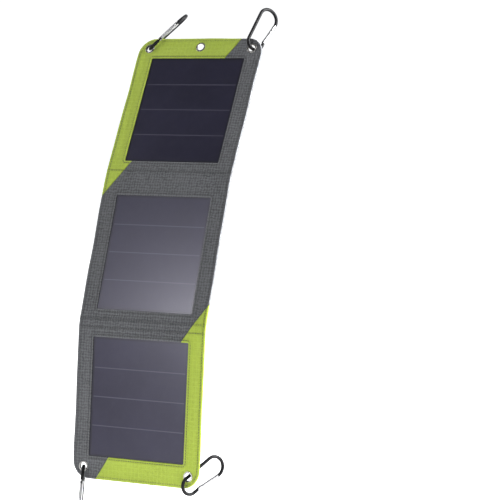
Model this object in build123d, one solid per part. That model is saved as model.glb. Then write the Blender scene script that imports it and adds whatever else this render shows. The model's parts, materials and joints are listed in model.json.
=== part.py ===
from build123d import *
import os
from math import cos, radians, sin

# Three-leaf folding solar panel with its corner carabiners. Millimetres.
#
# The origin is the centre of the hang eyelet in the top leaf. X runs to the right as the cells are
# seen, Z runs up and Y runs away from the side that the cells face. Each leaf and each fold strip is
# drawn flat in its own frame (x right, y up along the leaf, z out of the cells) and is then laid at
# its own lean. Heights in a leaf's frame are taken from its top line: the hang eyelet on the top
# leaf, the upper fold line on every other leaf and strip.

# ---- outline of the leaves ----
WIDTH = 175.0
HALF = WIDTH / 2
CORNER = 22.0
WINDOW_W = 131.0
WINDOW_H = 145.0
TOP_EDGE = 12.5
TOP_WINDOW = -16.0
TOP_FOLD = TOP_WINDOW - WINDOW_H - 12.9
MIDDLE_WINDOW = -15.0
MIDDLE_FOLD = MIDDLE_WINDOW - WINDOW_H - 12.3
BOTTOM_WINDOW = -12.0
BOTTOM_EDGE = BOTTOM_WINDOW - WINDOW_H - 28.3
UPPER_STRIP = 17.5
LOWER_STRIP = 10.1

# ---- lean of each piece back from upright, degrees ----
LEAN_TOP = 29.0
LEAN_MIDDLE = 20.3
LEAN_BOTTOM = 5.4

# ---- layers of a leaf, as heights over its middle plane ----
COVER = 0.8
FILM_BACK = -0.3
CELL_BACK = -0.5
BOARD_BACK = -1.3
STIFFENER_BACK = -2.3
PAN_BACK = -3.1
MODULE_LAP = 4.0
PAN_GAP = 0.3
LEAF_GAP = 1.1
STRIP_GAP = 0.3
STRIP_FACE = 0.6
RIBBON_HALF = 0.1
RIBBON_W = 14.0

# ---- cells ----
CELL_ROWS = 4
CELL_GAP = 1.2
CELL_EDGE = 2.6

# ---- colour seams of the front cloth ----
SEAM_SLOPE = 1.477
SEAM_START = 55.0
END_SEAM_IN = 38.0
END_SEAM_OUT = 55.0
END_MARGIN = 28.4
FAR = 400.0

# ---- eyelets ----
EYELET_HOLE = 4.5
EYELET_BARREL = 5.3
EYELET_FLANGE = 6.3
FLANGE = 0.4
FLANGE_ROUND = 0.3
EYELET_X = 72.5
EYELET_INSET = 14.5

# ---- carabiners: X along the spine, Y towards the gate ----
ROD = 2.1
SPINE_START = -1.0
SPINE_END = 38.0
NEAR_BEND = 10.5
FAR_BEND = 12.5
PIVOT_X = 7.0
ROD_STOP = 3.4
NOSE_STOP = 36.6
GATE_R = 2.3
GATE_END = 35.8
GATE_TAIL = 2.0
TONGUE = 0.8
SLOT = 1.0
TONGUE_RISE = 1.6
NOSE_TONGUE = 3.0
TAIL_SLOT = 2.4
NOSE_SLOT = 4.6
PIN_R = 0.75
PIN_RUN = 0.80
SPRING_BORE = 1.4
SPRING_R = 1.2
SPRING_LENGTH = 9.0

# ---- pocket and regulator, on the back of the top leaf ----
POCKET_HALF = 65.0
POCKET_TOP = -60.0
POCKET_BOTTOM = -158.0
POCKET_BACK = PAN_BACK - 12.0
POCKET_WALL = 0.8
TAPE = 0.8
TAPE_HALF = 30.0
TAPE_H = 16.0
TAPE_DROP = 4.0
FLAP = 1.0
FLAP_HALF = 62.0
FLAP_HINGE_Y = -58.5
FLAP_HINGE_Z = PAN_BACK - 0.8
FLAP_DROP = 27.0
CASE_HALF = 31.0
CASE_TOP = -86.0
CASE_BOTTOM = -118.0
CASE_FRONT = PAN_BACK
CASE_SPLIT = PAN_BACK - 2.6
CASE_BACK = PAN_BACK - 10.0
CASE_WALL = 1.6
SCREW_X = 27.0
SCREW_R = 1.2
SCREW_HEAD = 2.0
SOCKET_HALF_W = 6.6
SOCKET_DEPTH = 14.0
SOCKET_Z = PAN_BACK - 5.6
SOCKET_HALF_H = 2.9
SOCKET_WALL = 0.4
TONGUE_CLEAR = 0.8
TONGUE_SET_BACK = 2.0
TONGUE_FACES = (SOCKET_Z + 0.2, SOCKET_Z + 1.8)
BOARD_T = 1.2


def leaf_plane(origin, lean):
    """Frame of a leaf: x right, y up the leaf, z out of its front."""
    return Plane(origin=origin, x_dir=(1, 0, 0), z_dir=(0, -cos(radians(lean)), sin(radians(lean))))


def on(plane, x, y, z=0.0):
    """World place of a point given in a leaf's frame."""
    return plane.from_local_coords(Vector(x, y, z))


TOP = leaf_plane((0, 0, 0), LEAN_TOP)
UPPER = leaf_plane(on(TOP, 0, TOP_FOLD), (LEAN_TOP + LEAN_MIDDLE) / 2)
MIDDLE = leaf_plane(on(UPPER, 0, -UPPER_STRIP), LEAN_MIDDLE)
LOWER = leaf_plane(on(MIDDLE, 0, MIDDLE_FOLD), (LEAN_MIDDLE + LEAN_BOTTOM) / 2)
BOTTOM = leaf_plane(on(LOWER, 0, -LOWER_STRIP), LEAN_BOTTOM)

HANG = [(0.0, 0.0)]
TOP_CORNERS = [(-EYELET_X, TOP_EDGE - EYELET_INSET), (EYELET_X, TOP_EDGE - EYELET_INSET)]
BOTTOM_CORNERS = [(-EYELET_X, BOTTOM_EDGE + EYELET_INSET), (EYELET_X, BOTTOM_EDGE + EYELET_INSET)]


def slab(x0, x1, y0, y1, z0, z1):
    """Plain block between two corners."""
    return Pos((x0 + x1) / 2, (y0 + y1) / 2, (z0 + z1) / 2) * Box(x1 - x0, y1 - y0, abs(z1 - z0))


def rounded(x_half, y0, y1, z0, z1, top_radius, bottom_radius):
    """Block with its upper and lower corners rounded by their own radii."""
    block = slab(-x_half, x_half, y0, y1, z0, z1)
    uprights = block.edges().filter_by(Axis.Z).sort_by(Axis.Y)
    if bottom_radius:
        block = fillet(uprights[:2], bottom_radius)
        uprights = block.edges().filter_by(Axis.Z).sort_by(Axis.Y)
    if top_radius:
        block = fillet(uprights[-2:], top_radius)
    return block


def window_block(window_top, lap, z0, z1):
    """Block the size of a window plus a lap all round."""
    half = WINDOW_W / 2 + lap
    return slab(-half, half, window_top - WINDOW_H - lap, window_top + lap, z0, z1)


def drilled(solid, eyelets, radius):
    """Cut the eyelet holes through a layer."""
    for x, y in eyelets:
        solid -= Pos(x, y, 0) * Cylinder(radius, 20)
    return solid


def prism(points):
    """Tall prism over an outline, for parting the front cloth."""
    return extrude(make_face(Polyline(*points, close=True)), amount=10, both=True)


def seam_x(x, y, at):
    """Where the slanting seam through (x, y) stands at another height."""
    return x + (at - y) / SEAM_SLOPE


def end_seam_x(at_margin):
    """Where the steeper end seam stands, at a share of the end margin."""
    return END_SEAM_IN + (END_SEAM_OUT - END_SEAM_IN) * at_margin


# Heights where the two slanting seams cross each fold line.
LEFT_AT_TOP_FOLD = seam_x(-SEAM_START, TOP_WINDOW - WINDOW_H, TOP_FOLD)
LEFT_AT_MIDDLE = seam_x(LEFT_AT_TOP_FOLD, 0, -UPPER_STRIP)
RIGHT_AT_BOTTOM = seam_x(SEAM_START, BOTTOM_WINDOW, 0)
RIGHT_AT_MIDDLE = seam_x(RIGHT_AT_BOTTOM, 0, LOWER_STRIP)


def left_of(x, y):
    """Everything to the left of the slanting seam through (x, y)."""
    return prism([(-FAR, FAR), (seam_x(x, y, FAR), FAR), (seam_x(x, y, -FAR), -FAR), (-2 * FAR, -FAR)])


def top_green_zone():
    """Left margin and the left part of the top margin."""
    reach = 2.0
    return prism([
        (-FAR, TOP_WINDOW + reach * END_MARGIN),
        (end_seam_x(reach), TOP_WINDOW + reach * END_MARGIN),
        (END_SEAM_IN, TOP_WINDOW),
        (-SEAM_START, TOP_WINDOW - WINDOW_H),
        (seam_x(-SEAM_START, TOP_WINDOW - WINDOW_H, -FAR), -FAR),
        (-FAR, -FAR),
    ])


def bottom_green_zone():
    """Right margin and the right part of the bottom margin."""
    reach = 2.0
    low = BOTTOM_WINDOW - WINDOW_H
    return prism([
        (FAR, low - reach * END_MARGIN),
        (-end_seam_x(reach), low - reach * END_MARGIN),
        (-END_SEAM_IN, low),
        (SEAM_START, BOTTOM_WINDOW),
        (seam_x(SEAM_START, BOTTOM_WINDOW, FAR), FAR),
        (FAR, FAR),
    ])


def middle_green_zone():
    """The two slanted corners of the middle leaf."""
    right = prism([
        (FAR, FAR),
        (seam_x(RIGHT_AT_MIDDLE, MIDDLE_FOLD, FAR), FAR),
        (seam_x(RIGHT_AT_MIDDLE, MIDDLE_FOLD, -FAR), -FAR),
        (FAR, -FAR),
    ])
    return left_of(LEFT_AT_MIDDLE, 0) + right


def upper_strip_zone():
    return left_of(LEFT_AT_TOP_FOLD, 0)


def lower_strip_zone():
    return prism([
        (FAR, FAR),
        (seam_x(RIGHT_AT_MIDDLE, 0, FAR), FAR),
        (seam_x(RIGHT_AT_MIDDLE, 0, -FAR), -FAR),
        (FAR, -FAR),
    ])


def front_cover(y0, y1, window_top, radii, eyelets):
    """Front cloth of a leaf, with its window and eyelet holes."""
    cloth = rounded(HALF, y0, y1, 0, COVER, *radii)
    cloth -= window_block(window_top, 0, -1, COVER + 1)
    return drilled(cloth, eyelets, EYELET_BARREL)


def rear_cover(y0, y1, window_top, radii, eyelets):
    """Back cloth of a leaf, dished over the stiffener."""
    cloth = rounded(HALF, y0, y1, -COVER, 0, *radii)
    cloth += window_block(window_top, MODULE_LAP + PAN_GAP + COVER, PAN_BACK, 0)
    cloth -= window_block(window_top, MODULE_LAP + PAN_GAP, STIFFENER_BACK, 1)
    return drilled(cloth, eyelets, EYELET_BARREL)


def stiffener(window_top):
    return window_block(window_top, MODULE_LAP, STIFFENER_BACK, BOARD_BACK)


def cell_strips(window_top):
    """Row of equal cell strips, one above the other."""
    pitch = (WINDOW_H - 2 * CELL_EDGE + CELL_GAP) / CELL_ROWS
    half = WINDOW_W / 2 - CELL_EDGE
    strips = []
    for row in range(CELL_ROWS):
        high = window_top - CELL_EDGE - row * pitch
        strips.append(slab(-half, half, high - pitch + CELL_GAP, high, CELL_BACK, FILM_BACK))
    return strips


def module_board(window_top):
    """Backing board with the cells let into its face."""
    board = window_block(window_top, MODULE_LAP, BOARD_BACK, FILM_BACK)
    for strip in cell_strips(window_top):
        board -= strip
    return board


def face_film(window_top):
    return window_block(window_top, MODULE_LAP, FILM_BACK, 0)


def strip_front(length):
    return slab(-HALF, HALF, STRIP_GAP - length, -STRIP_GAP, RIBBON_HALF, STRIP_FACE)


def strip_ribbon(length):
    return slab(-RIBBON_W / 2, RIBBON_W / 2, STRIP_GAP - length, -STRIP_GAP, -RIBBON_HALF, RIBBON_HALF)


def strip_rear(length):
    """Back cloth of a fold strip, with the channel for the flat lead."""
    cloth = slab(-HALF, HALF, STRIP_GAP - length, -STRIP_GAP, -STRIP_FACE, RIBBON_HALF)
    return cloth - strip_ribbon(length)


def eyelet_ring():
    """Barrel with its front flange."""
    over = COVER + FLANGE
    ring = Cylinder(EYELET_BARREL, 2 * over)
    ring += Pos(0, 0, COVER + FLANGE / 2) * Cylinder(EYELET_FLANGE, FLANGE)
    rims = ring.edges().filter_by(GeomType.CIRCLE).group_by(Axis.Z)[-1].sort_by(SortBy.RADIUS)
    ring = fillet(rims[-1:], FLANGE_ROUND)
    return ring - Cylinder(EYELET_HOLE, 3 * over)


def eyelet_washer():
    """Flat washer that the barrel is set through at the back."""
    return Pos(0, 0, -COVER - FLANGE / 2) * (Cylinder(EYELET_FLANGE, FLANGE) - Cylinder(EYELET_BARREL, 1))


def at_each(places, piece):
    return [Pos(x, y, 0) * piece for x, y in places]


GATE_PIVOT_Y = 2 * NEAR_BEND
NOSE_Y = 2 * FAR_BEND


def frame_path():
    """Centre line of the bent rod, from the gate's pivot round to the nose."""
    tail = Line((ROD_STOP, GATE_PIVOT_Y), (SPINE_START, GATE_PIVOT_Y))
    near = CenterArc((SPINE_START, NEAR_BEND), NEAR_BEND, 90, 180)
    spine = Line((SPINE_START, 0), (SPINE_END, 0))
    far = CenterArc((SPINE_END, FAR_BEND), FAR_BEND, -90, 180)
    nose = Line((SPINE_END, NOSE_Y), (NOSE_STOP, NOSE_Y))
    return Wire([*tail.edges(), *near.edges(), *spine.edges(), *far.edges(), *nose.edges()])


def gate_location():
    """Frame of the gate: x from its pivot towards the nose."""
    return Plane(
        origin=(PIVOT_X, GATE_PIVOT_Y, 0),
        x_dir=(GATE_END - PIVOT_X, NOSE_Y - GATE_PIVOT_Y, 0),
        z_dir=(0, 0, 1),
    ).location


def gate_length():
    return ((GATE_END - PIVOT_X) ** 2 + (NOSE_Y - GATE_PIVOT_Y) ** 2) ** 0.5


def tongue_slab(x0, x1, y):
    """Flat end of the rod, which the gate's slot closes over."""
    return slab(x0, x1, y - TONGUE_RISE, y + TONGUE_RISE, -TONGUE, TONGUE)


def carabiner_frame():
    """Bent rod with a flat tongue at each end of the gate's gap."""
    path = frame_path()
    section = Plane(origin=path @ 0, z_dir=path % 0) * Circle(ROD)
    rod = sweep(section, path=path)
    tail = tongue_slab(ROD_STOP - 1, PIVOT_X, GATE_PIVOT_Y)
    tail += Pos(PIVOT_X, GATE_PIVOT_Y, 0) * Cylinder(TONGUE_RISE, 2 * TONGUE)
    tail -= Pos(PIVOT_X, GATE_PIVOT_Y, 0) * Cylinder(PIN_R, 6)
    nose = tongue_slab(NOSE_STOP - NOSE_TONGUE, NOSE_STOP + 1, NOSE_Y)
    return rod + tail + nose


def carabiner_gate():
    """Straight tube gate, slotted at both ends, drilled for its pin and bored for its spring."""
    length = gate_length()
    tube = Pos((length - GATE_TAIL) / 2, 0, 0) * Rot(0, 90, 0) * Cylinder(GATE_R, length + GATE_TAIL)
    tube -= slab(-GATE_TAIL - 1, TAIL_SLOT, -GATE_R - 1, GATE_R + 1, -SLOT, SLOT)
    tube -= slab(length - NOSE_SLOT, length + 1, -GATE_R - 1, GATE_R + 1, -SLOT, SLOT)
    tube -= Cylinder(PIN_RUN, 3 * GATE_R)
    tube -= Pos(TAIL_SLOT + SPRING_LENGTH / 2, 0, 0) * Rot(0, 90, 0) * Cylinder(SPRING_BORE, SPRING_LENGTH)
    return gate_location() * tube


def gate_spring():
    """Plain sleeve for the small coil spring inside the gate."""
    sleeve = Cylinder(SPRING_R, SPRING_LENGTH - 1) - Cylinder(SPRING_R / 2, SPRING_LENGTH)
    return gate_location() * Pos(TAIL_SLOT + SPRING_LENGTH / 2, 0, 0) * Rot(0, 90, 0) * sleeve


def gate_pin():
    return Pos(PIVOT_X, GATE_PIVOT_Y, 0) * Cylinder(PIN_R, 2 * GATE_R)


def pocket_pouch():
    """Open-topped pouch sewn to the back cover by three sides."""
    pouch = slab(-POCKET_HALF, POCKET_HALF, POCKET_BOTTOM, POCKET_TOP, POCKET_BACK, PAN_BACK)
    inner = POCKET_HALF - POCKET_WALL
    return pouch - slab(
        -inner, inner, POCKET_BOTTOM + POCKET_WALL, POCKET_TOP + 1, POCKET_BACK + POCKET_WALL, PAN_BACK + 1
    )


def pouch_tape():
    """Loop tape on the pouch."""
    low = POCKET_TOP - TAPE_DROP - TAPE_H
    return slab(-TAPE_HALF, TAPE_HALF, low, low + TAPE_H, POCKET_BACK - TAPE, POCKET_BACK)


def flap_tape_back():
    return POCKET_BACK - 2 * TAPE - 0.3


def flap_tape():
    """Hook tape on the flap, just clear of the loop tape."""
    back = flap_tape_back()
    low = POCKET_TOP - TAPE_DROP - TAPE_H
    return slab(-TAPE_HALF, TAPE_HALF, low, low + TAPE_H, back, back + TAPE)


def pocket_flap():
    """Flap that turns over the pouch's mouth and down its back."""
    back = flap_tape_back()
    lid = slab(-FLAP_HALF, FLAP_HALF, FLAP_HINGE_Y - FLAP / 2, FLAP_HINGE_Y + FLAP / 2, back, FLAP_HINGE_Z)
    drop = slab(-FLAP_HALF, FLAP_HALF, FLAP_HINGE_Y - FLAP_DROP, FLAP_HINGE_Y + FLAP / 2, back - FLAP, back)
    roll = Pos(0, FLAP_HINGE_Y, FLAP_HINGE_Z) * Rot(0, 90, 0) * Cylinder(FLAP / 2, 2 * FLAP_HALF)
    return lid + drop + roll


def screw_places():
    return [(side * SCREW_X, (CASE_TOP + CASE_BOTTOM) / 2) for side in (-1, 1)]


def socket_block(shrink, length):
    """Block of the socket's outline, for its shell and for the opening in the case."""
    return slab(
        -SOCKET_HALF_W + shrink, SOCKET_HALF_W - shrink, CASE_TOP - length, CASE_TOP,
        SOCKET_Z - SOCKET_HALF_H + shrink, SOCKET_Z + SOCKET_HALF_H - shrink,
    )


def usb_socket():
    """Folded metal shell with its contact tongue, open at the top."""
    shell = socket_block(0, SOCKET_DEPTH) - Pos(0, SOCKET_WALL, 0) * socket_block(SOCKET_WALL, SOCKET_DEPTH)
    inner = SOCKET_HALF_W - SOCKET_WALL
    half = inner - TONGUE_CLEAR
    tongue = slab(-half, half, CASE_TOP - SOCKET_DEPTH, CASE_TOP - TONGUE_SET_BACK, *TONGUE_FACES)
    return shell + tongue


def case_base():
    """Flat half of the regulator case, glued to the leaf."""
    base = slab(-CASE_HALF, CASE_HALF, CASE_BOTTOM, CASE_TOP, CASE_SPLIT, CASE_FRONT)
    base -= socket_block(0, SOCKET_DEPTH)
    for x, y in screw_places():
        base -= Pos(x, y, CASE_SPLIT) * Cylinder(SCREW_R, 3.0)
    return base


def case_cover():
    """Hollow half of the regulator case, with screw posts."""
    cover = slab(-CASE_HALF, CASE_HALF, CASE_BOTTOM, CASE_TOP, CASE_BACK, CASE_SPLIT)
    cover = fillet(cover.edges().group_by(Axis.Z)[0], 1.4)
    inner = CASE_HALF - CASE_WALL
    cover -= slab(
        -inner, inner, CASE_BOTTOM + CASE_WALL, CASE_TOP - CASE_WALL, CASE_BACK + CASE_WALL, CASE_SPLIT + 1
    )
    for x, y in screw_places():
        cover += Pos(x, y, (CASE_BACK + CASE_SPLIT) / 2) * Cylinder(SCREW_HEAD + 0.8, CASE_SPLIT - CASE_BACK)
    for x, y in screw_places():
        cover -= Pos(x, y, (CASE_BACK + CASE_SPLIT) / 2) * Cylinder(SCREW_R, 20)
        cover -= Pos(x, y, CASE_BACK) * Cylinder(SCREW_HEAD, 2 * SCREW_HEAD)
    return cover - socket_block(0, SOCKET_DEPTH)


def circuit_board():
    """Regulator board with its coil and capacitor, clear of the screw posts."""
    half = SCREW_X - SCREW_HEAD - 1.2
    top = CASE_TOP - CASE_WALL - 0.4
    low = CASE_BOTTOM + CASE_WALL + 0.4
    board = slab(-half, half, low, top, CASE_SPLIT - BOARD_T, CASE_SPLIT)
    board += Pos(-16, (top + low) / 2, CASE_SPLIT - BOARD_T - 1.5) * Box(8, 8, 3)
    board += Pos(16, (top + low) / 2, CASE_SPLIT - BOARD_T - 2) * Cylinder(3, 4)
    return board - socket_block(-0.1, SOCKET_DEPTH + 0.1)


def case_screws():
    """Two small screws up through the cover into the base."""
    screws = []
    for x, y in screw_places():
        length = CASE_SPLIT + 1.4 - (CASE_BACK + SCREW_HEAD)
        shank = Pos(x, y, CASE_BACK + SCREW_HEAD + length / 2) * Cylinder(SCREW_R, length)
        head = Pos(x, y, CASE_BACK + SCREW_HEAD - 0.7) * Cylinder(SCREW_HEAD - 0.1, 1.4)
        screws.append(shank + head)
    return screws


def write(name, plane, pieces):
    """Lay pieces in their plane and write them as one node."""
    pieces = pieces if isinstance(pieces, list) else [pieces]
    solids = [solid for piece in pieces for solid in (plane.location * piece).solids()]
    shape = solids[0] if len(solids) == 1 else Compound(children=solids)
    export_step(shape, f"parts/{name}.step")


def write_leaf(name, plane, y0, y1, window_top, radii, eyelets, green_zone):
    """All the layers of one leaf."""
    front = front_cover(y0, y1, window_top, radii, eyelets)
    write(f"{name}_front_green", plane, front & green_zone)
    write(f"{name}_front_grey", plane, front - green_zone)
    write(f"{name}_rear_cover", plane, rear_cover(y0, y1, window_top, radii, eyelets))
    write(f"{name}_stiffener", plane, stiffener(window_top))
    write(f"{name}_module_board", plane, module_board(window_top))
    write(f"{name}_cells", plane, cell_strips(window_top))
    write(f"{name}_face_film", plane, face_film(window_top))


def write_strip(name, plane, length, green_zone):
    """The layers of one fold strip."""
    front = strip_front(length)
    write(f"{name}_green", plane, front & green_zone)
    write(f"{name}_grey", plane, front - green_zone)
    write(f"{name}_rear", plane, strip_rear(length))
    write(f"{name}_lead", plane, strip_ribbon(length))


def write_eyelets(name, plane, places):
    write(f"{name}_rings", plane, at_each(places, eyelet_ring()))
    write(f"{name}_washers", plane, at_each(places, eyelet_washer()))


def in_turned_plane(turn, rise):
    """Long direction and gate direction of a carabiner whose plane is turned about the leaf's height."""
    across = Vector(cos(radians(turn)), 0, -sin(radians(turn)))
    up = Vector(0, 1, 0)
    long_way = across * cos(radians(rise)) + up * sin(radians(rise))
    gate_way = across * sin(radians(rise)) - up * cos(radians(rise))
    return long_way, gate_way


def carabiner_plane(leaf, eyelet, long_way, gate_way, hold):
    """Frame of a carabiner whose rod passes through an eyelet at the point hold of its centre line."""
    facing = Vector(long_way).cross(Vector(gate_way))
    local = Plane(origin=(eyelet[0], eyelet[1], 0), x_dir=long_way, z_dir=facing)
    placed = leaf.location * local.location * Pos(-hold[0], -hold[1], 0)
    return Plane(placed)


ON_SPINE = (2.5, 0.0)
ON_BEND = (SPINE_START - NEAR_BEND, NEAR_BEND)

CARABINERS = {
    "top_left": (TOP, TOP_CORNERS[0], ((0.64, 0.77, 0.0), (0.449, -0.373, 0.812)), ON_BEND),
    "top_right": (TOP, TOP_CORNERS[1], in_turned_plane(60, 78), ON_BEND),
    "bottom_left": (BOTTOM, BOTTOM_CORNERS[0], ((-0.05, -1.0, 0.0), (0.449, -0.022, 0.893)), ON_BEND),
    "bottom_right": (BOTTOM, BOTTOM_CORNERS[1], in_turned_plane(61, 36), ON_SPINE),
}


def write_carabiner(name, leaf, eyelet, ways, hold):
    plane = carabiner_plane(leaf, eyelet, *ways, hold)
    write(f"{name}_carabiner_frame", plane, carabiner_frame())
    write(f"{name}_carabiner_gate", plane, carabiner_gate())
    write(f"{name}_gate_pin", plane, gate_pin())
    write(f"{name}_gate_spring", plane, gate_spring())


def main():
    os.makedirs("parts", exist_ok=True)
    square = (0, 0)
    top_end = TOP_FOLD + LEAF_GAP
    middle_end = MIDDLE_FOLD + LEAF_GAP
    top_eyelets = HANG + TOP_CORNERS
    write_leaf("top", TOP, top_end, TOP_EDGE, TOP_WINDOW, (CORNER, 0), top_eyelets, top_green_zone())
    write_leaf("middle", MIDDLE, middle_end, -LEAF_GAP, MIDDLE_WINDOW, square, [], middle_green_zone())
    write_leaf(
        "bottom", BOTTOM, BOTTOM_EDGE, -LEAF_GAP, BOTTOM_WINDOW, (0, CORNER), BOTTOM_CORNERS,
        bottom_green_zone(),
    )
    write_strip("upper_strip", UPPER, UPPER_STRIP, upper_strip_zone())
    write_strip("lower_strip", LOWER, LOWER_STRIP, lower_strip_zone())
    write_eyelets("hang_eyelet", TOP, HANG)
    write_eyelets("top_eyelet", TOP, TOP_CORNERS)
    write_eyelets("bottom_eyelet", BOTTOM, BOTTOM_CORNERS)
    for name, (leaf, eyelet, ways, hold) in CARABINERS.items():
        write_carabiner(name, leaf, eyelet, ways, hold)
    write("pocket_pouch", TOP, pocket_pouch())
    write("pouch_loop_tape", TOP, pouch_tape())
    write("flap_hook_tape", TOP, flap_tape())
    write("pocket_flap", TOP, pocket_flap())
    write("regulator_base", TOP, case_base())
    write("regulator_cover", TOP, case_cover())
    write("usb_socket", TOP, usb_socket())
    write("circuit_board", TOP, circuit_board())
    write("case_screws", TOP, case_screws())


main()
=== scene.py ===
"""Looks of the three-leaf folding solar panel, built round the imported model.

The cloth is cut in one flat plan: x runs to the right and s runs up the panel as if it lay unfolded,
in millimetres, with s = 0 at the hang eyelet. Each stretch of the plan (a leaf, or half of a fold)
is laid on its own flat piece of the frame, and heights n are measured out of the cell side.
"""
import json
import math

import bpy
import numpy as np
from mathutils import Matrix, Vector
from mathutils.geometry import delaunay_2d_cdt


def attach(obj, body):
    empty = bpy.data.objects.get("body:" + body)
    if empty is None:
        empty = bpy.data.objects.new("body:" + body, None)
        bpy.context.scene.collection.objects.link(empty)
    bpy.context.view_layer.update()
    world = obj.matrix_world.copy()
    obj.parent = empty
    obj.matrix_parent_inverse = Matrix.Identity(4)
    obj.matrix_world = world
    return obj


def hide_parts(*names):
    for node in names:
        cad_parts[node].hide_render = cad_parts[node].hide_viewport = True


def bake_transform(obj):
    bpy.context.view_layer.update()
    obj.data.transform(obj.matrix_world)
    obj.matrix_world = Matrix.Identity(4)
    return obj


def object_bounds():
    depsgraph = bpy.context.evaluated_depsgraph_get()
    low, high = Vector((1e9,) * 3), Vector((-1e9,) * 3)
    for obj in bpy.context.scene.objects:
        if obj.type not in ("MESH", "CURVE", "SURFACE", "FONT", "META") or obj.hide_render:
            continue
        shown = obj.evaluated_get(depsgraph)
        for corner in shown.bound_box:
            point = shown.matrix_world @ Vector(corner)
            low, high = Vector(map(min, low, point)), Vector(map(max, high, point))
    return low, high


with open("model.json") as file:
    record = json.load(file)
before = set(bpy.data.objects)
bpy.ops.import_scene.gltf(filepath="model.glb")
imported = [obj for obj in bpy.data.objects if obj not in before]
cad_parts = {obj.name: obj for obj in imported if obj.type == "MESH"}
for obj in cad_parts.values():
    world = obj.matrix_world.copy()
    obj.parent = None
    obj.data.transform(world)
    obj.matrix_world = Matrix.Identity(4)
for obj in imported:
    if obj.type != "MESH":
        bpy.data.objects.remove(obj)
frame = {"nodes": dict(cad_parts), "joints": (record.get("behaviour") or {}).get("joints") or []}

cad_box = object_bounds()

MM = 0.001
pivot = {joint["name"]: Vector(joint["pos_m"]) for joint in frame["joints"]}
CORNER_NAMES = ("top_left", "top_right", "bottom_left", "bottom_right")

# ---- flat pieces of the frame ----


class Flat:
    """Frame of a flat piece: x right, y up along it, n out of the cell side. Millimetres in, metres out."""

    def __init__(self, origin, point_below):
        self.origin = Vector(origin)
        self.right = Vector((1, 0, 0))
        self.up = (self.origin - Vector(point_below)).normalized()
        self.out = self.right.cross(self.up)
        self.axes = np.array([self.right, self.up, self.out])

    def at(self, x, y, n):
        return self.origin + (self.right * x + self.up * y + self.out * n) * MM

    def spread(self, points):
        return np.array(self.origin) + points @ self.axes * MM

    def read(self, node):
        """Lowest and highest corner of a CAD node in this frame, in millimetres."""
        points = np.array([v.co for v in frame["nodes"][node].data.vertices])
        local = (points - np.array(self.origin)) @ self.axes.T / MM
        return local.min(0), local.max(0)


def gap(a, b):
    return (pivot[a] - pivot[b]).length / MM


low_eyelets = (pivot["bottom_left_swing"] + pivot["bottom_right_swing"]) / 2
TOP = Flat((0, 0, 0), pivot["upper_fold"])
UPPER = Flat(pivot["upper_fold"], pivot["upper_fold_second_edge"])
MIDDLE = Flat(pivot["upper_fold_second_edge"], pivot["lower_fold"])
LOWER = Flat(pivot["lower_fold"], pivot["lower_fold_second_edge"])
BOTTOM = Flat(pivot["lower_fold_second_edge"], low_eyelets)

# Height of each fold line in the plan, from the top.
LINE_1 = -pivot["upper_fold"].length / MM
LINE_2 = LINE_1 - gap("upper_fold", "upper_fold_second_edge")
LINE_3 = LINE_2 - gap("upper_fold_second_edge", "lower_fold")
LINE_4 = LINE_3 - gap("lower_fold", "lower_fold_second_edge")
FOLD_LINES = (LINE_1, LINE_2, LINE_3, LINE_4)
SEWN_LINES = (LINE_1, LINE_3, LINE_4)

# ---- sizes, in millimetres ----
CORNER = 22.0
CELL_EDGE = 2.6
WINDOW_CORNER = 1.5
CELL_GAP = 1.2
STRIPS = 4
CLOTH = 0.8
SKIN = 0.02
PAN_RISE = 2.3
PAN_STITCH = 9.6
HEM = 6.4
HEM_FADE = 1.6
FACE_HALF = 0.38
BEND = 3.5
LEAF_END = 6.0
ROLL = 0.95
STITCH_IN = 3.3
WINDOW_STITCH = 2.7
STITCH_PITCH = 3.3
STITCH_LENGTH = 2.6
THREAD_R = 0.36

edge_high = TOP.read("top_rear_cover")[1]
HALF = edge_high[0]
PLAN_TOP = edge_high[1]
PLAN_LOW = BOTTOM.read("bottom_rear_cover")[0][1] + LINE_4


def window_of(flat, node, line):
    """Middle and half size of a leaf's window in the plan, from its cells."""
    low, high = flat.read(node)
    half = (high - low) / 2 + CELL_EDGE
    return (0.0, (low[1] + high[1]) / 2 + line), (half[0], half[1])


WINDOWS = {
    "top": window_of(TOP, "top_cells", 0.0),
    "middle": window_of(MIDDLE, "middle_cells", LINE_2),
    "bottom": window_of(BOTTOM, "bottom_cells", LINE_4),
}


def plan_height(flat, line, point):
    return (Vector(point) - flat.origin).dot(flat.up) / MM + line


EYELETS = [(0.0, 0.0)]
for corner_name in CORNER_NAMES:
    leaf_at = (TOP, 0.0) if corner_name.startswith("top") else (BOTTOM, LINE_4)
    swing = pivot[f"{corner_name}_swing"]
    EYELETS.append((swing.x / MM, plan_height(*leaf_at, swing)))
EYELET_HOLE = 5.0
EYELET_CLEAR = 7.6

# ---- colour seams of the front cloth, where they meet the windows and the ends ----
SEAM_X = 55.0
SEAM_SLOPE = 1.477
END_IN = 38.0
END_OUT = 55.0
BEYOND = 30.0


def end_seam(window, end):
    """Two points of the steeper seam across an end margin, running a little past both."""
    lean = (END_OUT - END_IN) / abs(end - window)
    away = math.copysign(1.0, end - window)
    return (END_IN, window), (END_OUT + BEYOND * lean, end + away * BEYOND)


def green_zone(sign, window_end, window_far, plan_end):
    """Outline of one end's green cloth in the plan: an end margin, a side margin and a slanted corner."""
    inner, outer = end_seam(window_end, plan_end)
    away = math.copysign(1.0, plan_end - window_end)
    reach = HALF + BEYOND
    slant = (sign * reach, window_far - away * SEAM_SLOPE * (reach - SEAM_X))
    corner = (sign * reach, outer[1])
    across = [(-sign * outer[0], outer[1]), (-sign * inner[0], inner[1])]
    return across + [(sign * SEAM_X, window_far), slant, corner]


def window_ends(name):
    middle, half = WINDOWS[name]
    return middle[1] + half[1], middle[1] - half[1]


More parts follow.
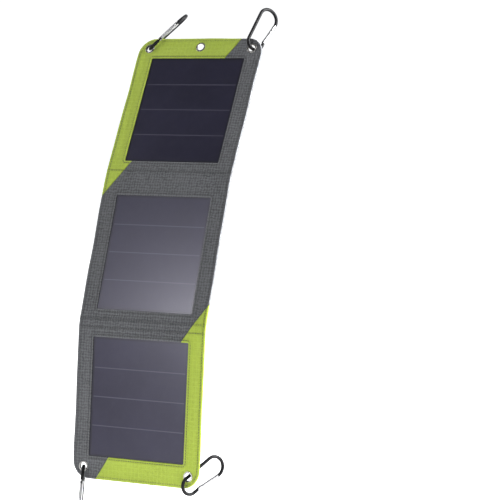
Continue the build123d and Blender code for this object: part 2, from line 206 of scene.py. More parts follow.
GREEN = [
    green_zone(-1.0, window_ends("top")[0], window_ends("top")[1], PLAN_TOP),
    green_zone(1.0, window_ends("bottom")[1], window_ends("bottom")[0], PLAN_LOW),
]
SEAMS = [(zone[i], zone[i + 1]) for zone in GREEN for i in (0, 2)]

# ---- distances in the plan ----


def smooth(value):
    value = np.clip(value, 0, 1)
    return value * value * (3 - 2 * value)


def box_distance(points, middle, half, radius):
    """Distance out of a rounded box, negative inside."""
    q = np.abs(points - middle) - half + radius
    return np.linalg.norm(np.maximum(q, 0), axis=1) + np.minimum(q.max(1), 0) - radius


def line_distance(points, a, b):
    a, b = np.array(a, float), np.array(b, float)
    t = np.clip((points - a) @ (b - a) / ((b - a) @ (b - a)), 0, 1)
    return np.linalg.norm(points - a - t[:, None] * (b - a), axis=1)


def edge_distance(points):
    """Distance in from the outer edge of the unfolded panel."""
    half = (HALF, (PLAN_TOP - PLAN_LOW) / 2)
    return -box_distance(points, (0.0, (PLAN_TOP + PLAN_LOW) / 2), half, CORNER)


def window_distance(points):
    return np.min([box_distance(points, m, h, WINDOW_CORNER) for m, h in WINDOWS.values()], axis=0)


def seam_distance(points):
    return np.min([line_distance(points, a, b) for a, b in SEAMS], axis=0)


def eyelet_distance(points):
    return np.min([np.linalg.norm(points - e, axis=1) for e in EYELETS], axis=0)


def line_gap(points, lines):
    return np.min([np.abs(points[:, 1] - line) for line in lines], axis=0)


def quarter(value):
    """Rounded rise from 0 to 1, steep at first."""
    value = np.clip(value, 0, 1)
    return np.sqrt(1 - (1 - value) ** 2)


def rounded_off(distance):
    """Height share of a rolled edge: nothing at the edge, full from ROLL inward."""
    return quarter(distance / ROLL)


def dent(distance, at, width):
    return np.exp(-(((distance - at) / width) ** 2))


def ripple(points, length, turn):
    """Soft waves that never repeat exactly, between -1 and 1."""
    x, s = points[:, 0] / length, points[:, 1] / length
    first = np.sin(2.1 * x * math.cos(turn) + 2.1 * s * math.sin(turn) + turn)
    second = np.sin(3.7 * s * math.cos(turn) - 3.1 * x * math.sin(turn) + 2 * turn)
    return (first + second * 0.7) / 1.7


def lift(points):
    """How far the loose margins stand out of their plane, front and back together."""
    free = smooth((window_distance(points) - 5) / 14) * smooth((eyelet_distance(points) - 8) / 10)
    return 0.55 * free * ripple(points, 26, 0.9)


def pucker(points, distance, at):
    """Small gathers along a row of stitches."""
    along = (points[:, 0] + points[:, 1]) / STITCH_PITCH
    return 0.07 * np.cos(2 * math.pi * along) * dent(distance, at, 2.2) - 0.36 * dent(distance, at, 0.8)


def hem_share(distance, width):
    """1 over a turned edge of that width, nothing past it."""
    return 1 - smooth((distance - width) / HEM_FADE)


def off_eyelets(eyelet):
    """0 under an eyelet's rings, 1 clear of them."""
    return smooth((eyelet - 7) / 3)


def front_faces(points):
    """Heights of the front cloth's upper and lower faces."""
    edge, window = edge_distance(points), window_distance(points)
    seam, eyelet, fold = seam_distance(points), eyelet_distance(points), line_gap(points, SEWN_LINES)
    hem = 0.34 * hem_share(edge, HEM) + 0.50 * hem_share(window, 5.0)
    full = CLOTH - SKIN + hem * off_eyelets(eyelet)
    full = full + 0.10 * ripple(points, 9, 2.3) * off_eyelets(eyelet)
    full = full + pucker(points, edge, STITCH_IN) + pucker(points, window, WINDOW_STITCH)
    full = full - 0.40 * dent(fold, 0, 1.0) - 0.42 * dent(seam, 0, 0.55) + 0.16 * dent(seam, 1.9, 0.9)
    full = full - 0.22 * dent(eyelet, 6.6, 1.2)
    share = rounded_off(edge) * rounded_off(window)
    middle = SKIN + FACE_HALF
    rise = lift(points)
    return middle + share * (full - FACE_HALF) + rise, middle - share * FACE_HALF + rise


def rear_faces(points):
    """Heights of the back cloth's inner and outer faces, dished over the stiffener."""
    edge, window = edge_distance(points), window_distance(points)
    eyelet, fold = eyelet_distance(points), line_gap(points, FOLD_LINES)
    pan = PAN_RISE * (1 - smooth((window - 4.4) / 4.0))
    inside = smooth((-window - 1) / 20)
    full = CLOTH - SKIN + 0.30 * hem_share(edge, HEM) * off_eyelets(eyelet)
    full = full + 0.12 * ripple(points, 11, 1.1) + 0.10 * inside * ripple(points, 30, 0.4)
    full = full + pucker(points, edge, STITCH_IN) + pucker(points, window, PAN_STITCH)
    full = full - 0.34 * dent(fold, 0, 0.8) - 0.22 * dent(eyelet, 6.6, 1.2)
    share = rounded_off(edge)
    middle = SKIN + FACE_HALF + pan - lift(points)
    return share * FACE_HALF - middle, -share * (full - FACE_HALF) - middle


# ---- stretches of the plan: a leaf, or half of a fold ----


class Stretch:
    """A part of the plan: on a flat piece and riding on its body, or laid bent from one flat piece to the
    next at a line and left where it is built.
    """

    def __init__(self, name, high, low, line, *carriers):
        """carriers are its bodies, each with its flat piece and the plan height of that piece's origin."""
        self.name, self.high, self.low, self.line = name, high, low, line
        self.bodies, self.flats, self.starts = zip(*carriers)

    def lay(self, plan, heights):
        """Points of the plan at heights over it, in the frame."""
        spots = [
            flat.spread(np.column_stack([plan[:, 0], plan[:, 1] - start, heights]))
            for flat, start in zip(self.flats, self.starts)
        ]
        if self.line is None:
            return spots[0]
        share = smooth((self.line + BEND - plan[:, 1]) / (2 * BEND))[:, None]
        return spots[0] * (1 - share) + spots[1] * share

    def attach(self, piece):
        if self.line is None:
            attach(piece, self.bodies[0])
            return
        first, second = self.flats
        start = first.at(0, self.line + BEND - self.starts[0], 0)
        end = second.at(0, self.line - BEND - self.starts[1], 0)
        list(self.bodies)
        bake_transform(piece)


MID_1 = (LINE_1 + LINE_2) / 2
MID_2 = (LINE_3 + LINE_4) / 2
ON_TOP = ("top_leaf", TOP, 0.0)
ON_UPPER = ("upper_strip", UPPER, LINE_1)
ON_MIDDLE = ("middle_leaf", MIDDLE, LINE_2)
ON_LOWER = ("lower_strip", LOWER, LINE_3)
ON_BOTTOM = ("bottom_leaf", BOTTOM, LINE_4)
STRETCHES = [
    Stretch("top", PLAN_TOP, LINE_1 + LEAF_END, None, ON_TOP),
    Stretch("upper_fold_a", LINE_1 + LEAF_END, MID_1, LINE_1, ON_TOP, ON_UPPER),
    Stretch("upper_fold_b", MID_1, LINE_2 - LEAF_END, LINE_2, ON_UPPER, ON_MIDDLE),
    Stretch("middle", LINE_2 - LEAF_END, LINE_3 + LEAF_END, None, ON_MIDDLE),
    Stretch("lower_fold_a", LINE_3 + LEAF_END, MID_2, LINE_3, ON_MIDDLE, ON_LOWER),
    Stretch("lower_fold_b", MID_2, LINE_4 - LEAF_END, LINE_4, ON_LOWER, ON_BOTTOM),
    Stretch("bottom", LINE_4 - LEAF_END, PLAN_LOW, None, ON_BOTTOM),
]

# ---- cutting cloth ----
# Distances of the extra rows of points beside an edge.
RINGS = (0.10, 0.26, 0.50, 0.95)


def walk(points, step, closed=True):
    """The same line with points at most a step apart."""
    points = [np.array(p, float) for p in points]
    ends = points[1:] + points[:1] if closed else points[1:]
    out = []
    for a, b in zip(points, ends):
        count = max(1, math.ceil(np.linalg.norm(b - a) / step))
        out += [a + (b - a) * k / count for k in range(count)]
    if not closed:
        out.append(points[-1])
    return np.array(out)


def arc(middle, radius, start, end, step):
    """Points of an arc, from start to end degrees."""
    count = max(4, math.ceil(math.radians(abs(end - start)) * radius / step))
    angles = np.radians(np.linspace(start, end, count + 1))
    return [(middle[0] + radius * math.cos(a), middle[1] + radius * math.sin(a)) for a in angles]


def rectangle(half, low, high, step, low_radius=0.0, high_radius=0.0):
    """Upright rectangle, anticlockwise, with its lower and upper corners rounded."""
    outline = []
    for sign_x, level, sign_y, radius, start in (
        (-1, low, 1, low_radius, 180),
        (1, low, 1, low_radius, 270),
        (1, high, -1, high_radius, 0),
        (-1, high, -1, high_radius, 90),
    ):
        if radius:
            middle = (sign_x * (half - radius), level + sign_y * radius)
            outline += arc(middle, radius, start, start + 90, step)
        else:
            outline.append((sign_x * half, level))
    return walk(outline, step)


def inside(points, loop):
    """Which points lie inside a closed loop."""
    hit = np.zeros(len(points), bool)
    ends = np.roll(loop, -1, axis=0)
    for (ax, ay), (bx, by) in zip(loop, ends):
        if ay == by:
            continue
        crosses = (points[:, 1] < ay) != (points[:, 1] < by)
        x = ax + (points[:, 1] - ay) / (by - ay) * (bx - ax)
        hit ^= crosses & (points[:, 0] < x)
    return hit


def beside(line, closed):
    """Unit vectors to the left of a line, at its points."""
    if closed:
        way = np.roll(line, -1, axis=0) - np.roll(line, 1, axis=0)
    else:
        way = np.gradient(line, axis=0)
    way = way / np.linalg.norm(way, axis=1)[:, None]
    return np.column_stack([-way[:, 1], way[:, 0]])


def near_line(points, line, closed):
    """Distance of each point from the nearest point of a walked line."""
    ends = np.roll(line, -1, axis=0) if closed else line[1:]
    starts = line if closed else line[:-1]
    best = np.full(len(points), 1e9)
    for a, b in zip(starts, ends):
        best = np.minimum(best, line_distance(points, a, b))
    return best


def in_cloth(points, outline, holes):
    """Which points lie inside the outline and outside every hole."""
    keep = inside(points, outline)
    for hole in holes:
        keep &= ~inside(points, hole)
    return keep


def cut(outline, holes, seams, step):
    """Triangles over a flat region, finer near its edges, with no triangle across a seam."""
    low, high = outline.min(0), outline.max(0)
    lines = [(outline, True, (1,))] + [(h, True, (-1,)) for h in holes] + [(s, False, (1, -1)) for s in seams]
    rows = []
    for k, s in enumerate(np.arange(low[1] + step / 2, high[1], step * 0.87)):
        xs = np.arange(low[0] + step * (0.25 + 0.5 * (k % 2)), high[0], step)
        rows.append(np.column_stack([xs, np.full(len(xs), s)]))
    fill = np.vstack(rows)
    fill = fill[in_cloth(fill, outline, holes)]
    for line, closed, _ in lines:
        fill = fill[near_line(fill, line, closed) > RINGS[-1] + 0.35 * step]
    points, edges = [fill], []
    count = len(fill)
    for line, closed, _ in lines:
        numbers = np.arange(count, count + len(line))
        ends = np.roll(numbers, -1) if closed else numbers[1:]
        edges += list(zip(numbers.tolist(), ends.tolist()))
        points.append(line)
        count += len(line)
    rings = []
    for line, closed, sides in lines:
        left = beside(line, closed)
        rings += [line + left * side * r for side in sides for r in RINGS]
    ring = np.vstack(rings)
    ring = ring[in_cloth(ring, outline, holes)]
    for line, closed, _ in lines:
        ring = ring[near_line(ring, line, closed) > RINGS[0] * 0.9]
    points.append(ring)
    flat = np.vstack(points)
    made = delaunay_2d_cdt([Vector(p) for p in flat], edges, [], 0, 1e-4)
    spots, faces = np.array([tuple(v) for v in made[0]]), np.array(made[2])
    a, b, c = spots[faces[:, 0]], spots[faces[:, 1]], spots[faces[:, 2]]
    turn = (b - a)[:, 0] * (c - a)[:, 1] - (b - a)[:, 1] * (c - a)[:, 0]
    faces[turn < 0] = faces[turn < 0][:, ::-1]
    centre = (a + b + c) / 3
    return spots, faces[in_cloth(centre, outline, holes) & (np.abs(turn) > 1e-5)]


def shell(name, plan, faces, upper, lower, lay, material, wear_and_shading=None):
    """Closed mesh between an upper and a lower face over triangles of the plan."""
    used, faces = np.unique(faces, return_inverse=True)
    faces = faces.reshape(-1, 3)
    plan, upper, lower = plan[used], upper[used], lower[used]
    shut = np.abs(upper - lower) < 1e-3
    count = len(plan)
    below = np.where(shut, np.arange(count), 0)
    below[~shut] = count + np.arange((~shut).sum())
    spots = np.vstack([lay(plan, upper), lay(plan[~shut], lower[~shut])])
    where = np.vstack([plan, plan[~shut]])
    sides = np.concatenate([faces[:, [0, 1]], faces[:, [1, 2]], faces[:, [2, 0]]])
    key = np.sort(sides, axis=1)
    _, first, uses = np.unique(key, axis=0, return_index=True, return_counts=True)
    polygons = faces.tolist() + below[faces[:, ::-1]].tolist()
    for a, b in sides[first[uses == 1]].tolist():
        wall = [a, int(below[a]), int(below[b]), b]
        wall = [v for k, v in enumerate(wall) if v not in wall[:k]]
        if len(wall) > 2:
            polygons.append(wall)
    piece = mesh_piece(name, spots, polygons, material, where * MM)
    # Two point masks: lighter edges, partly wear and partly painted highlight, and painted shade.
    if wear_and_shading is not None:
        for word, values in zip(("lightened", "soiled"), wear_and_shading(where)):
            layer = piece.data.attributes.new(word, "FLOAT", "POINT")
            layer.data.foreach_set("value", values.astype(np.float32))
    return piece


def mesh_piece(name, spots, polygons, material, plan=None):
    """Object from points in the frame, in metres, with its cut plan as a UV map."""
    mesh = bpy.data.meshes.new(name)
    mesh.from_pydata(np.asarray(spots).tolist(), [], polygons)
    mesh.validate()
    mesh.materials.append(material)
    if plan is not None:
        corners = np.zeros(len(mesh.loops), np.int32)
        mesh.loops.foreach_get("vertex_index", corners)
        layer = mesh.uv_layers.new(name="cut")
        layer.data.foreach_set("uv", plan[corners].astype(np.float32).ravel())
    mesh.shade_smooth()
    mesh.set_sharp_from_angle(angle=math.radians(62))
    piece = bpy.data.objects.new(name, mesh)
    bpy.context.scene.collection.objects.link(piece)
    return piece


# ---- materials ----


class Graph:
    """Short way to write a node material, or the nodes of a world."""

    def __init__(self, name, owners="materials", place="Object"):
        """place is what noise and split read: the cut plan, or an output of the texture coordinates."""
        self.owner = getattr(bpy.data, owners).new(name)
        self.owner.use_nodes = True
        self.tree = self.owner.node_tree
        self.shader = self.tree.nodes.get("Principled BSDF")
        if place == "cut":
            self.place = self.node("UVMap", uv_map="cut").outputs[0]
        else:
            self.place = self.node("TexCoord").outputs[place]

    def feed(self, node, inputs):
        for key, value in inputs.items():
            if isinstance(value, bpy.types.NodeSocket):
                self.tree.links.new(value, node.inputs[key])
            elif value is not None:
                node.inputs[key].default_value = value
        return node

    def node(self, kind, inputs=None, **settings):
        made = self.tree.nodes.new("ShaderNode" + kind)
        for key, value in settings.items():
            setattr(made, key, value)
        return self.feed(made, inputs or {})

    def math(self, operation, *values, clamp=False):
        inputs = dict(enumerate(values))
        return self.node("Math", inputs, operation=operation, use_clamp=clamp).outputs[0]

    def mix(self, factor, a, b, blend="MIX"):
        made = self.node("Mix", {0: factor, 6: a, 7: b}, data_type="RGBA", blend_type=blend)
        return made.outputs[2]

    def ramp(self, value, low, high, out_low=0.0, out_high=1.0):
        inputs = {0: value, 1: low, 2: high, 3: out_low, 4: out_high}
        return self.node("MapRange", inputs, interpolation_type="SMOOTHSTEP").outputs[0]

    def noise(self, scale, detail=2.0, rough=0.5, place=None):
        inputs = {"Vector": place or self.place, "Scale": scale, "Detail": detail, "Roughness": rough}
        return self.node("TexNoise", inputs).outputs[0]

    def stretched(self, x, y, step_x, step_y):
        """Noise with cells of its own size each way."""
        parts = {0: self.math("DIVIDE", x, step_x), 1: self.math("DIVIDE", y, step_y)}
        return self.noise(1.0, 1.0, place=self.node("CombineXYZ", parts).outputs[0])

    def wave(self, value, pitch):
        return self.math("SINE", self.math("MULTIPLY", value, math.pi / pitch))

    def split(self):
        return self.node("SeparateXYZ", {0: self.place}).outputs

    def bump(self, height, distance, strength=1.0, under=None):
        inputs = {"Height": height, "Distance": distance, "Strength": strength, "Normal": under}
        return self.node("Bump", inputs).outputs[0]

    def finish(self, colour, normal, rough, **others):
        self.feed(self.shader, {"Base Color": colour, "Normal": normal, "Roughness": rough})
        self.feed(self.shader, {key.replace("_", " "): value for key, value in others.items()})
        return self.owner


def shade(colour, factor):
    return tuple(c * factor for c in colour[:3]) + (1.0,)


def woven(name, warp, weft, pitch, heather, sheen, figure=None, square=None, wear_and_highlight_lift=1.8):
    """Plain weave of uneven yarns, lighter under one mark (edge wear, on the front cloth also painted
    highlight) and darker under another (painted shade).

    figure is the size of a broken check in the yarns' tones, square the size of a grid of stop yarns.
    """
    g = Graph(name, place="cut")
    x, s, _ = g.split()
    product = g.math("MULTIPLY", g.wave(x, pitch), g.wave(s, pitch))
    height = g.math("SQRT", g.math("ABSOLUTE", product))
    over = g.ramp(product, -0.06, 0.06)
    warp_yarn = g.stretched(x, s, pitch, 7 * pitch)
    weft_yarn = g.stretched(x, s, 8 * pitch, pitch)
    patch = g.noise(260.0, 3.0)
    cloudy = g.noise(22.0, 3.0)
    warp_tone = g.mix(g.ramp(warp_yarn, 0.32, 0.68), shade(warp, 1 - heather), shade(warp, 1 + heather))
    weft_tone = g.mix(g.ramp(weft_yarn, 0.32, 0.68), shade(weft, 1 - heather), shade(weft, 1 + heather))
    tone = g.mix(over, weft_tone, warp_tone)
    if figure:
        stray = g.math("MULTIPLY", g.math("SUBTRACT", g.noise(150.0, 1.0), 0.5), 0.004)
        x_stray, s_stray = g.math("ADD", x, stray), g.math("SUBTRACT", s, stray)
        rising = g.wave(g.math("ADD", x_stray, s_stray), figure)
        check = g.math("MULTIPLY", rising, g.wave(g.math("SUBTRACT", x_stray, s_stray), figure))
        check = g.math("ADD", check, g.math("MULTIPLY", g.math("SUBTRACT", patch, 0.5), 3.5))
        tone = g.mix(g.ramp(check, -0.4, 0.9, 0.0, 0.45), tone, shade(weft, 1.6))
        tone = g.mix(g.ramp(check, -0.9, 0.1, 0.50, 0.0), tone, shade(warp, 0.5))
    tone = g.mix(g.ramp(patch, 0.35, 0.7, 0.0, 0.25), tone, shade(warp, 0.62))
    # Darker where the weave sinks between the yarns: painted shade.
    tone = g.mix(g.ramp(height, 0.0, 0.55, 0.4, 0.0), tone, shade(warp, 0.30))
    tone = g.mix(g.ramp(cloudy, 0.3, 0.7, 0.0, 0.16), tone, shade(weft, 1.25))
    if square:
        grid = g.math("MINIMUM", *(g.math("ABSOLUTE", g.wave(way, square)) for way in (x, s)))
        yarn = g.ramp(grid, 0.10, 0.16, 1.0, 0.0)
        height = g.math("ADD", height, g.math("MULTIPLY", yarn, 0.6))
        tone = g.mix(g.math("MULTIPLY", yarn, 0.35), tone, shade(weft, 1.3))
    broken = g.ramp(g.noise(900.0, 2.0), 0.3, 0.6, 0.45, 1.0)
    # First mark: lighter edges, wear that on the front cloth also stands for painted highlight. Second mark:
    # painted shade in seams, stitch rows, folds and beside the windows.
    for word, wear_and_shading_tone in (("lightened", shade(weft, wear_and_highlight_lift)), ("soiled", shade(warp, 0.25))):
        wear_and_shading = g.node("Attribute", attribute_name=word).outputs["Fac"]
        tone = g.mix(g.math("MULTIPLY", wear_and_shading, broken), tone, wear_and_shading_tone)
    normal = g.bump(height, 0.00022, 0.9)
    normal = g.bump(patch, 0.0004, 0.5, normal)
    return g.finish(tone, normal, 0.82, Sheen_Weight=sheen, Sheen_Roughness=0.5, Specular_IOR_Level=0.25)


def thread(name, colour):
    """Twisted sewing thread."""
    g = Graph(name, place="cut")
    u, v, _ = g.split()
    twist = g.math("SINE", g.math("ADD", g.math("MULTIPLY", u, 9000.0), g.math("MULTIPLY", v, 2 * math.pi)))
    tone = g.mix(g.ramp(twist, -1.0, 0.4), shade(colour, 0.55), shade(colour, 1.25))
    return g.finish(tone, g.bump(twist, 0.00006), 0.55, Sheen_Weight=0.2)


MIRROR_TINT = (0.84, 0.82, 1.0, 1)
FACE_GLOSS = dict(
    Coat_Weight=0.4, Coat_Roughness=0.17, Coat_IOR=1.45, Specular_IOR_Level=0.55, Specular_Tint=MIRROR_TINT
)
# Tones of the film: the strips lie between the first two, then the gaps and the border. The border is kept
# dark all round as painted shade for the hem's shadow.
FILM_DARK = (0.0066, 0.0061, 0.0165, 1)
FILM_PALE = (0.0090, 0.0084, 0.0215, 1)
GAP_TONE = (0.042, 0.040, 0.060, 1)
BORDER_SHADE_TONE = (0.0045, 0.0042, 0.0090, 1)


def cells():
    """Dark cell strips with fine contact lines, under the film."""
    g = Graph("cell_strips")
    finger = g.ramp(g.math("ABSOLUTE", g.wave(g.split()[0], 0.0020)), 0.05, 0.12, 0.14, 0.0)
    grain = g.noise(18.0, 3.0)
    tone = g.mix(g.ramp(grain, 0.3, 0.7), (0.0065, 0.0060, 0.0150, 1), (0.0088, 0.0082, 0.0195, 1))
    tone = g.mix(finger, tone, (0.020, 0.019, 0.032, 1))
    return g.finish(tone, None, 0.25, **FACE_GLOSS)


def board():
    """Backing of the module, under the film."""
    g = Graph("module_board")
    tone = g.mix(g.noise(400.0), (0.034, 0.033, 0.050, 1), (0.046, 0.044, 0.064, 1))
    return g.finish(tone, None, 0.25, Coat_Weight=1.0, Coat_Roughness=0.18, Coat_IOR=1.65)


def film(name, flat):
    """Satin face with the strips, the gaps between them and the border showing through it."""
    g = Graph(f"{name}_film")

    def along(axis):
        """Distance from the flat's origin along one of its axes, in millimetres."""
        dot = g.node("VectorMath", {0: g.place, 1: tuple(axis)}, operation="DOT_PRODUCT").outputs["Value"]
        return g.math("MULTIPLY", g.math("SUBTRACT", dot, flat.origin.dot(axis)), 1 / MM)

    low, high = flat.read(f"{name}_cells")
    x, y = along(flat.right), along(flat.up)
    pitch = (high[1] - low[1] + CELL_GAP) / STRIPS
    turn = g.math("DIVIDE", g.math("SUBTRACT", y, low[1] - CELL_GAP / 2), pitch)
    from_gap = g.math("MULTIPLY", g.math("ABSOLUTE", g.math("SUBTRACT", turn, g.math("ROUND", turn))), pitch)
    gap_line = g.ramp(from_gap, CELL_GAP / 2 - 0.12, CELL_GAP / 2 + 0.12, 1.0, 0.0)
    side = g.math("SUBTRACT", g.math("ABSOLUTE", x), high[0])
    beyond = g.math("MAXIMUM", g.math("SUBTRACT", y, high[1]), g.math("SUBTRACT", low[1], y))
    # Mask of the border round the strips, painted dark as shade.
    rim = g.ramp(g.math("MAXIMUM", side, beyond), -0.1, 0.1)
    finger = g.ramp(g.math("ABSOLUTE", g.wave(x, 2.0)), 0.05, 0.14, 0.16, 0.0)
    grain = g.noise(18.0, 3.0)
    tone = g.mix(g.ramp(grain, 0.3, 0.7), FILM_DARK, FILM_PALE)
    tone = g.mix(finger, tone, (0.030, 0.029, 0.045, 1))
    tone = g.mix(gap_line, tone, GAP_TONE)
    tone = g.mix(rim, tone, BORDER_SHADE_TONE)
    dust = g.ramp(g.noise(90.0, 5.0, 0.6), 0.4, 0.8, 0.0, 0.10)
    tone = g.mix(dust, tone, (0.040, 0.038, 0.052, 1))
    rough = g.math("ADD", g.ramp(grain, 0.2, 0.8, 0.28, 0.295), g.math("MULTIPLY", gap_line, 0.04))
    return g.finish(tone, None, rough, **FACE_GLOSS)


def metal(name, colour, rough, spot, grain_scale, coat=0.0):
    """Metal with fine drawn grain, small scratches and dull patches."""
    g = Graph(name)
    patch = g.noise(180.0, 4.0)
    grain = g.noise(grain_scale, 3.0)
    scratch = g.ramp(g.noise(1400.0, 6.0, 0.7), 0.60, 0.68)
    tone = g.mix(g.ramp(patch, 0.4, 0.75, 0.0, 0.5), shade(colour, 1.0), spot)
    tone = g.mix(g.math("MULTIPLY", scratch, 0.25), tone, shade(colour, 1.4))
    shine = g.ramp(patch, 0.3, 0.8, rough, rough + 0.16)
    normal = g.bump(grain, 0.00004, 0.4, g.bump(scratch, 0.00002, 0.3))
    return g.finish(tone, normal, shine, Metallic=1.0, Coat_Weight=coat, Coat_Roughness=0.12)


def black_anodised():
    """Black finish with bright rubbed spots."""
    g = Graph("black_anodised")
    patch = g.noise(150.0, 5.0, 0.6)
    lightened = g.ramp(patch, 0.64, 0.76, 0.0, 0.3)
    fine = g.ramp(g.noise(2200.0, 4.0, 0.7), 0.60, 0.70, 0.0, 0.18)
    tone = g.mix(g.math("MAXIMUM", lightened, fine), (0.006, 0.006, 0.007, 1), (0.07, 0.07, 0.075, 1))
    normal = g.bump(g.noise(1800.0, 3.0), 0.00003, 0.4)
    rough = g.ramp(patch, 0.3, 0.8, 0.36, 0.50)
    return g.finish(tone, normal, rough, Specular_IOR_Level=0.10)


def moulded(name, colour):
    """Moulded plastic with spark-eroded grain."""
    g = Graph(name)
    grain = g.noise(1600.0, 3.0)
    tone = g.mix(g.noise(90.0, 3.0), shade(colour, 0.8), shade(colour, 1.3))
    return g.finish(tone, g.bump(grain, 0.00009, 0.7), g.ramp(grain, 0.3, 0.7, 0.42, 0.60))


def fibre_board():
    """Layered fibre sheet of the stiffeners."""
    g = Graph("fibre_board")
    tone = g.mix(g.noise(700.0, 5.0, 0.7), (0.10, 0.085, 0.065, 1), (0.19, 0.16, 0.12, 1))
    return g.finish(tone, g.bump(g.noise(1200.0, 4.0), 0.0001, 0.6), 0.75)


def circuit():
    """Green solder mask over copper."""
    g = Graph("circuit")
    trace = g.ramp(g.noise(500.0, 0.0), 0.48, 0.52, 0.0, 0.5)
    tone = g.mix(trace, (0.010, 0.085, 0.035, 1), (0.035, 0.17, 0.06, 1))
    return g.finish(tone, g.bump(trace, 0.00003), 0.35, Coat_Weight=0.5)


def fuzz(name, colour, scale, depth):
    """Napped or hooked tape."""
    g = Graph(name, place="cut")
    nap = g.noise(scale, 4.0, 0.7)
    tone = g.mix(g.ramp(nap, 0.3, 0.7), shade(colour, 0.4), shade(colour, 1.6))
    return g.finish(tone, g.bump(nap, depth), 0.9, Sheen_Weight=0.4)


GREEN_WARP, GREEN_WEFT = (0.288, 0.378, 0.036), (0.364, 0.464, 0.058)
GREY_WARP, GREY_WEFT = (0.056, 0.058, 0.063), (0.100, 0.103, 0.110)
GREEN_CLOTH = woven("green_cloth", GREEN_WARP, GREEN_WEFT, 0.00050, 0.10, 0.15, None, 0.0052, 1.5)
GREY_CLOTH = woven("grey_cloth", GREY_WARP, GREY_WEFT, 0.00095, 0.40, 0.12, 0.0036, None, 5.0)
REAR_WARP, REAR_WEFT = (0.022, 0.023, 0.025), (0.034, 0.035, 0.038)
REAR_CLOTH = woven("rear_cloth", REAR_WARP, REAR_WEFT, 0.00060, 0.25, 0.05)
POUCH_WARP, POUCH_WEFT = (0.010, 0.0105, 0.0115), (0.016, 0.0165, 0.018)
POUCH_CLOTH = woven("pouch_cloth", POUCH_WARP, POUCH_WEFT, 0.00060, 0.25, 0.05, None, 0.0060, 4.0)
DARK_THREAD = thread("dark_thread", (0.020, 0.021, 0.023))
GREY_THREAD = thread("grey_thread", (0.130, 0.132, 0.138))
CELLS = cells()
BOARD = board()
NICKEL = metal("nickel", (0.46, 0.45, 0.43), 0.20, (0.20, 0.19, 0.18, 1), 900.0)
SATIN = metal("satin_silver", (0.38, 0.38, 0.39), 0.28, (0.24, 0.24, 0.25, 1), 1600.0)
STEEL = metal("spring_steel", (0.42, 0.42, 0.43), 0.30, (0.16, 0.15, 0.14, 1), 1200.0)
COPPER = metal("tinned_copper", (0.72, 0.42, 0.26), 0.35, (0.40, 0.22, 0.12, 1), 700.0)
BLACK = black_anodised()
CASE = moulded("case_plastic", (0.018, 0.018, 0.020))
FIBRE = fibre_board()
CIRCUIT = circuit()
LOOP_TAPE = fuzz("loop_tape", (0.020, 0.020, 0.022), 2600.0, 0.0005)
HOOK_TAPE = fuzz("hook_tape", (0.028, 0.028, 0.030), 1400.0, 0.0004)

CAD_LOOKS = {
    "_cells": CELLS,
    "_module_board": BOARD,
    "_stiffener": FIBRE,
    "_lead": COPPER,
    "_rings": NICKEL,
    "_washers": NICKEL,
    "_carabiner_frame": BLACK,
    "_carabiner_gate": SATIN,
    "_gate_pin": STEEL,
    "_gate_spring": STEEL,
    "regulator_base": CASE,
    "regulator_cover": CASE,
    "usb_socket": SATIN,
    "circuit_board": CIRCUIT,
    "case_screws": STEEL,
}
for leaf_name, leaf_flat in (("top", TOP), ("middle", MIDDLE), ("bottom", BOTTOM)):
    CAD_LOOKS[f"{leaf_name}_face_film"] = film(leaf_name, leaf_flat)
for node_name, node_object in frame["nodes"].items():
    for ending, look in CAD_LOOKS.items():
        if node_name.endswith(ending):
            node_object.data.materials.clear()
            node_object.data.materials.append(look)


def fasten(piece, body, node):
    """The piece rides on the body and stands for the CAD node, which is hidden."""
    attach(piece, body)
    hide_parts(node)


# ---- cloth of the leaves and folds ----
STEP_FRONT = 1.9
STEP_REAR = 2.4
SHEET_LEAST = 10.5
SHEET_SHARE = 0.31


def near_edge(distance, reach):
    return np.exp(-np.maximum(distance, 0) / reach)


def front_wear(plan):
    """Lighter along the outer and window edges, partly wear and partly painted highlight; painted shade in
    the seams, rows of stitches, sewn fold lines and window edges.
    """
    edge, window = edge_distance(plan), window_distance(plan)
    lightened = np.maximum(0.9 * near_edge(edge, 0.45), 0.10 * dent(window, 1.4, 0.8))
    rows = np.maximum(dent(edge, STITCH_IN, 0.9), dent(window, WINDOW_STITCH, 0.9))
    rows = np.maximum(rows, 1.2 * dent(line_gap(plan, SEWN_LINES), 0, 1.1))
    # Painted shade in the colour seams and painted shadow along the window edges.
    seams = np.maximum(0.6 * dent(seam_distance(plan), 0, 0.6), 0.8 * near_edge(window, 0.3))
    return lightened, np.maximum(0.5 * rows, seams)


def rear_wear(plan):
    # Lighter along the outer edge; painted shade along the rows of stitches and the fold lines.
    edge, window = edge_distance(plan), window_distance(plan)
    rows = np.maximum(dent(edge, STITCH_IN, 0.9), dent(window, PAN_STITCH, 0.9))
    return 0.6 * near_edge(edge, 0.7), 0.5 * np.maximum(rows, dent(line_gap(plan, FOLD_LINES), 0, 1.1))


def stretch_outline(stretch, step):
    low_radius = CORNER if stretch.low == PLAN_LOW else 0.0
    high_radius = CORNER if stretch.high == PLAN_TOP else 0.0
    return rectangle(HALF, stretch.low, stretch.high, step, low_radius, high_radius)


def eyelet_holes(stretch, step):
    return [
        np.array(arc(e, EYELET_HOLE, 0, 360, step)[:-1])
        for e in EYELETS
        if stretch.low < e[1] < stretch.high
    ]


def round_window(name, away, step):
    """Outline of a leaf's window, moved outward."""
    (_, middle), (half_x, half_y) = WINDOWS[name]
    radius = WINDOW_CORNER + away
    return rectangle(half_x + away, middle - half_y - away, middle + half_y + away, step, radius, radius)


def seams_in(stretch, step):
    """The stretches of the colour seams that lie in a stretch, a little past its ends."""
    found = []
    for a, b in SEAMS:
        a, b = np.array(a), np.array(b)
        ends = (stretch.low - 1, stretch.high + 1)
        low, high = sorted((end - a[1]) / (b[1] - a[1]) for end in ends)
        low, high = max(low, -0.02), min(high, 1.0)
        if low < high:
            found.append(walk([a + (b - a) * low, a + (b - a) * high], step, closed=False))
    return found


